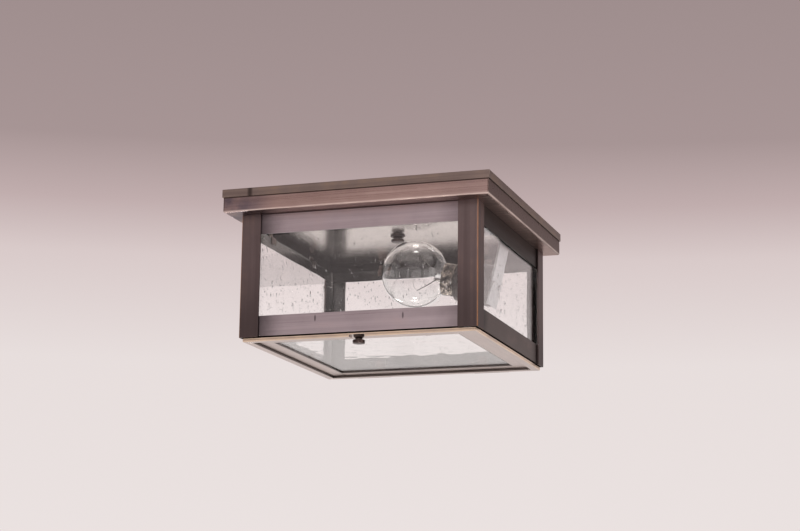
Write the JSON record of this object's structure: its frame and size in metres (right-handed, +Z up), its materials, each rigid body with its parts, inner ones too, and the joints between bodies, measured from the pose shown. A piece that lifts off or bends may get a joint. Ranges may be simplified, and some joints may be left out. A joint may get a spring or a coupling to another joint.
{
  "type": "porch ceiling lantern",
  "caption": "Square flush ceiling lantern: strip-metal cage with seedy glass sides, hinged glazed bottom door, folded canopy and a side-mounted clear globe bulb.",
  "frame": {"origin": "centre of the ceiling plane, on the crossbar's top face and the canopy's rim", "axes": "+Z up to the ceiling, -Y to the door screw (front), +Y to the hinges, +X to the lampholder"},
  "size_m": [0.216, 0.216, 0.1235],
  "materials": {
    "antique_brass": "brushed, darkened antique finish",
    "dark_knob": "turned, nearly black patina",
    "reflector": "satin",
    "seedy_glass": "clear, with small air bubbles and slight waves",
    "bulb_glass": "clear, thin blown",
    "filament": "drawn wire",
    "bulb_cap": "rolled, bright",
    "cap_insulator": "black glass",
    "solder": "soldered",
    "holder_moulding": "dark phenolic moulding",
    "holder_brass": "plain pressed brass",
    "zinc_steel": "zinc plated",
    "ground_green": "green passivated",
    "bushing_plastic": "moulded"
  },
  "bodies": {
    "fixture": {"bottom_rail_back": "antique_brass", "bottom_rail_front": "antique_brass", "bottom_rail_left": "antique_brass", "bottom_rail_right": "antique_brass", "bracket_nuts": "zinc_steel", "bracket_screws": "zinc_steel", "canopy_lip_back": "antique_brass", "canopy_lip_front": "antique_brass", "canopy_lip_left": "antique_brass", "canopy_lip_right": "antique_brass", "canopy_pan": "antique_brass", "lampholder_body": "holder_moulding", "lampholder_bracket": "zinc_steel", "lampholder_contact": "holder_brass", "lampholder_screws": "zinc_steel", "lampholder_shell": "holder_brass", "pane_back": "seedy_glass", "pane_clips": "antique_brass", "pane_front": "seedy_glass", "pane_left": "seedy_glass", "pane_right": "seedy_glass", "post_back_left": "antique_brass", "post_back_right": "antique_brass", "post_front_left": "antique_brass", "post_front_right": "antique_brass", "top_rail_back": "antique_brass", "top_rail_front": "antique_brass", "top_rail_left": "antique_brass", "top_rail_right": "antique_brass", "reflector_plate": "reflector", "lead_bushing": "bushing_plastic", "crossbar": "zinc_steel", "centre_stud": "zinc_steel", "stud_locknut": "zinc_steel", "ground_screw": "ground_green", "catch_tab": "antique_brass", "hinge_body_leaves": "antique_brass", "hinge_pins": "antique_brass"},
    "door": {"door_glass": "seedy_glass", "door_glass_clips": "antique_brass", "door_rim_back": "antique_brass", "door_rim_front": "antique_brass", "door_rim_left": "antique_brass", "door_rim_right": "antique_brass", "door_strip_back": "antique_brass", "door_strip_front": "antique_brass", "door_strip_left": "antique_brass", "door_strip_right": "antique_brass", "hinge_door_leaves": "antique_brass"},
    "door_screw_washer": {"door_washer": "dark_knob"},
    "door_thumb_screw": {"door_knob": "dark_knob"},
    "stud_washer": {"centre_washer": "dark_knob"},
    "stud_thumb_nut": {"centre_knob": "dark_knob"},
    "bulb": {"bulb_globe": "bulb_glass", "bulb_stem": "bulb_glass", "bulb_filament": "filament", "bulb_cap": "bulb_cap", "bulb_cap_insulator": "cap_insulator", "bulb_contact": "solder"}
  },
  "joints": [
    {"name": "door_hinge", "type": "hinge", "parent": "fixture", "child": "door", "pos_m": [0, 0.09635, -0.1156], "axis": [1, 0, 0], "range_deg": [0, 90]},
    {"name": "door_screw_travel", "type": "slide", "parent": "door", "child": "door_screw_washer", "axis": [0, 0, 1], "range_m": [-0.00476, 0]},
    {"name": "door_screw_turn", "type": "hinge", "parent": "door_screw_washer", "child": "door_thumb_screw", "pos_m": [0, -0.0886, -0.118], "axis": [0, 0, 1], "range_deg": [-2160, 0]},
    {"name": "stud_nut_travel", "type": "slide", "parent": "fixture", "child": "stud_washer", "axis": [0, 0, 1], "range_m": [-0.00198, 0]},
    {"name": "stud_nut_turn", "type": "hinge", "parent": "stud_washer", "child": "stud_thumb_nut", "pos_m": [0, 0, -0.0201], "axis": [0, 0, 1], "range_deg": [-900, 0]},
    {"name": "bulb_turn", "type": "hinge", "parent": "fixture", "child": "bulb", "pos_m": [0.0152, 0, -0.052], "axis": [0.9781, 0, -0.2079], "range_deg": [-900, 0]}
  ],
  "couplings": [
    {"joint": "door_screw_turn", "follows": "door_screw_travel", "rad_per_m": 7915.8},
    {"joint": "stud_nut_turn", "follows": "stud_nut_travel", "rad_per_m": 7915.8}
  ]
}
